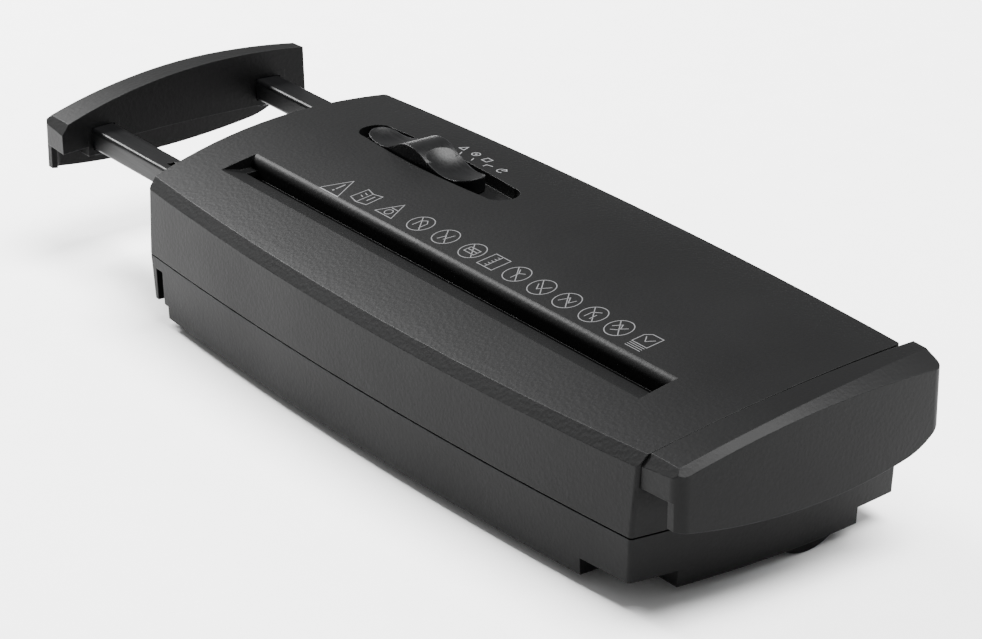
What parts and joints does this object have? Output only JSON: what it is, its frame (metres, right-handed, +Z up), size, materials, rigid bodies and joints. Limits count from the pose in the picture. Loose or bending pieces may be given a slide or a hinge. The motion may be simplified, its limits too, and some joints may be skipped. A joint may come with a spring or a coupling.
{
  "type": "paper shredder",
  "caption": "Strip-cut paper shredder head with a feed slot, a mode slider, a fixed end cap and an end cap on sliding arms that spans the rim of a bin.",
  "frame": {"origin": "middle of the whole object's footprint, in the plane that it stands on", "axes": "+X along the length towards the fixed end cap, -Y towards the front wall beside the feed slot, +Z up"},
  "size_m": [0.3678, 0.1141, 0.066],
  "materials": {
    "cover_plastic": "fine grain",
    "base_plastic": "fine grain",
    "cap_plastic": "fine grain",
    "arm_plastic": "smooth satin",
    "knob_plastic": "satin",
    "inner_plastic": "plain moulded",
    "sensor_plastic": "plain moulded",
    "switch_plastic": "plain moulded",
    "gland_rubber": "matte",
    "guide_plastic": "plain moulded",
    "screw_black": "blackened",
    "screw_steel": "zinc plated",
    "plate_steel": "zinc plated sheet",
    "shaft_steel": "ground",
    "cutter_steel": "oiled",
    "motor_steel": "drawn can",
    "gear_steel": "sintered",
    "gear_nylon": "greased",
    "bush_brass": "sintered",
    "board_laminate": "solder mask",
    "relay_plastic": "moulded",
    "capacitor_sleeve": "shrink sleeve",
    "terminal_plastic": "moulded"
  },
  "bodies": {
    "housing": {"top_cover": "cover_plastic", "base_housing": "base_plastic", "fixed_end_cap": "cap_plastic", "exit_guard": "base_plastic", "case_screws": "screw_steel", "cord_gland": "gland_rubber", "arm_guide_front": "inner_plastic", "arm_guide_rear": "inner_plastic", "slide_switch": "switch_plastic", "feed_guide_front": "guide_plastic", "feed_guide_rear": "guide_plastic", "sensor_pin": "shaft_steel", "sensor_switch": "switch_plastic", "far_side_plate": "plate_steel", "near_side_plate": "plate_steel", "tie_rods": "shaft_steel", "shaft_bushes": "bush_brass", "comb_front": "inner_plastic", "comb_rear": "inner_plastic", "gear_axles": "shaft_steel", "gear_plate": "plate_steel", "gear_standoffs": "shaft_steel", "motor_case": "motor_steel", "control_board": "board_laminate", "board_relay": "relay_plastic", "board_capacitor": "capacitor_sleeve", "board_terminals": "terminal_plastic"},
    "extension": {"extension_end_cap": "cap_plastic", "arm_front": "arm_plastic", "arm_rear": "arm_plastic", "arm_end_stops": "sensor_plastic", "arm_screws": "screw_black"},
    "mode_slider": {"mode_knob": "knob_plastic"},
    "paper_sensor": {"sensor_lever": "sensor_plastic"},
    "cutter_front": {"cutter_shaft_front": "shaft_steel", "cutter_discs_front": "cutter_steel", "cutter_spacers_front": "cutter_steel", "sync_gear_front": "gear_steel"},
    "cutter_rear": {"cutter_shaft_rear": "shaft_steel", "cutter_discs_rear": "cutter_steel", "cutter_spacers_rear": "cutter_steel", "sync_gear_rear": "gear_steel", "drive_gear": "gear_steel"},
    "reduction_a": {"gear_a": "gear_nylon"},
    "reduction_b": {"gear_b": "gear_nylon"},
    "rotor": {"motor_shaft": "shaft_steel", "motor_pinion": "gear_steel"}
  },
  "joints": [
    {"name": "extension_slide", "type": "slide", "parent": "housing", "child": "extension", "axis": [-1, 0, 0], "range_m": [-0.061, 0.035]},
    {"name": "mode_slide", "type": "slide", "parent": "housing", "child": "mode_slider", "axis": [1, 0, 0], "range_m": [0, 0.014]},
    {"name": "sensor_pivot", "type": "hinge", "parent": "housing", "child": "paper_sensor", "pos_m": [0.0265, -0.01255, 0.0415], "axis": [1, 0, 0], "range_deg": [0, 20], "stiffness_Nm_per_rad": 0.0005, "springref_deg": -20.05},
    {"name": "cutter_rear_spin", "type": "hinge", "parent": "housing", "child": "cutter_rear", "pos_m": [0.0305, -0.01165, 0.0215], "axis": [1, 0, 0], "continuous": true},
    {"name": "cutter_front_spin", "type": "hinge", "parent": "housing", "child": "cutter_front", "pos_m": [0.0305, -0.02965, 0.0215], "axis": [1, 0, 0], "continuous": true},
    {"name": "reduction_b_spin", "type": "hinge", "parent": "housing", "child": "reduction_b", "pos_m": [0.0305, -0.00362, 0.03761], "axis": [1, 0, 0], "continuous": true},
    {"name": "reduction_a_spin", "type": "hinge", "parent": "housing", "child": "reduction_a", "pos_m": [0.0305, 0.01555, 0.0366], "axis": [1, 0, 0], "continuous": true},
    {"name": "motor_spin", "type": "hinge", "parent": "housing", "child": "rotor", "pos_m": [0.0305, 0.01555, 0.0168], "axis": [1, 0, 0], "continuous": true}
  ],
  "couplings": [
    {"joint": "cutter_front_spin", "follows": "cutter_rear_spin", "ratio": -1},
    {"joint": "reduction_b_spin", "follows": "cutter_rear_spin", "ratio": -2},
    {"joint": "reduction_a_spin", "follows": "cutter_rear_spin", "ratio": 5.3846},
    {"joint": "motor_spin", "follows": "cutter_rear_spin", "ratio": -24.231}
  ]
}
